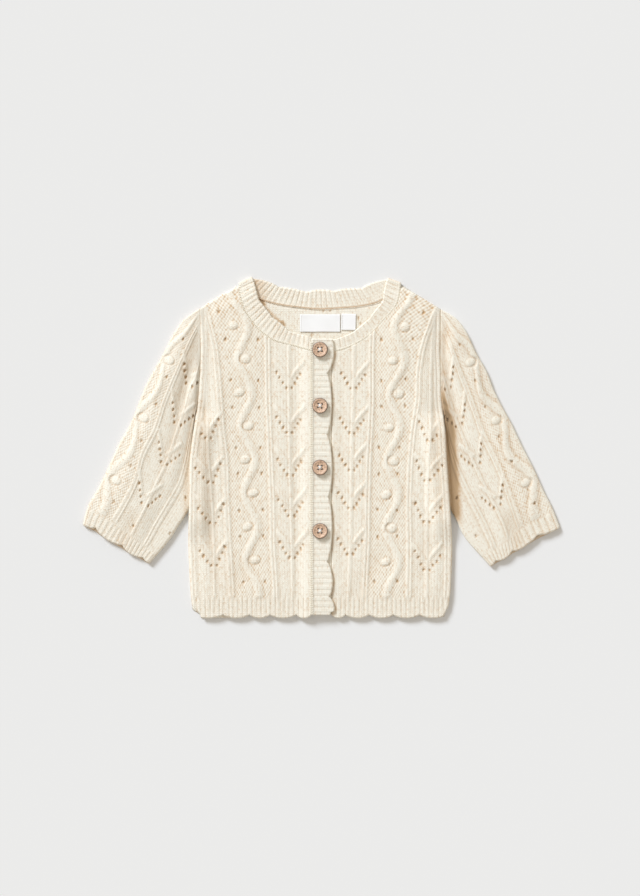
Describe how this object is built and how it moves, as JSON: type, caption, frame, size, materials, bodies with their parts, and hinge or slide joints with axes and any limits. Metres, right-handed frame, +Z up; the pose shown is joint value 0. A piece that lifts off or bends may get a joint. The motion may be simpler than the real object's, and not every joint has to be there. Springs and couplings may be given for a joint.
{
  "type": "baby cardigan",
  "caption": "Long-sleeved knitted baby cardigan laid flat, buttoned, with wavy cables, lace ribs and scalloped ribbed edges.",
  "frame": {"origin": "bottom centre of the whole garment, on the surface it lies on", "axes": "+X across, from the wearer's right sleeve to the left one; +Y from hem to neck; +Z up, out of the front"},
  "size_m": [0.4304, 0.3076, 0.011],
  "materials": {
    "cotton_knit": "matt cream cotton knit",
    "coconut": "satin brown coconut shell",
    "satin_label": "white woven satin, blank"
  },
  "bodies": {
    "root": {"back": "cotton_knit", "front_right": "cotton_knit", "front_left": "cotton_knit", "sleeve_right": "cotton_knit", "sleeve_left": "cotton_knit", "neckband": "cotton_knit", "buttonhole_band": "cotton_knit", "button_band": "cotton_knit", "button_1": "coconut", "button_2": "coconut", "button_3": "coconut", "button_4": "coconut", "neck_label": "satin_label", "size_label": "satin_label"}
  },
  "joints": []
}
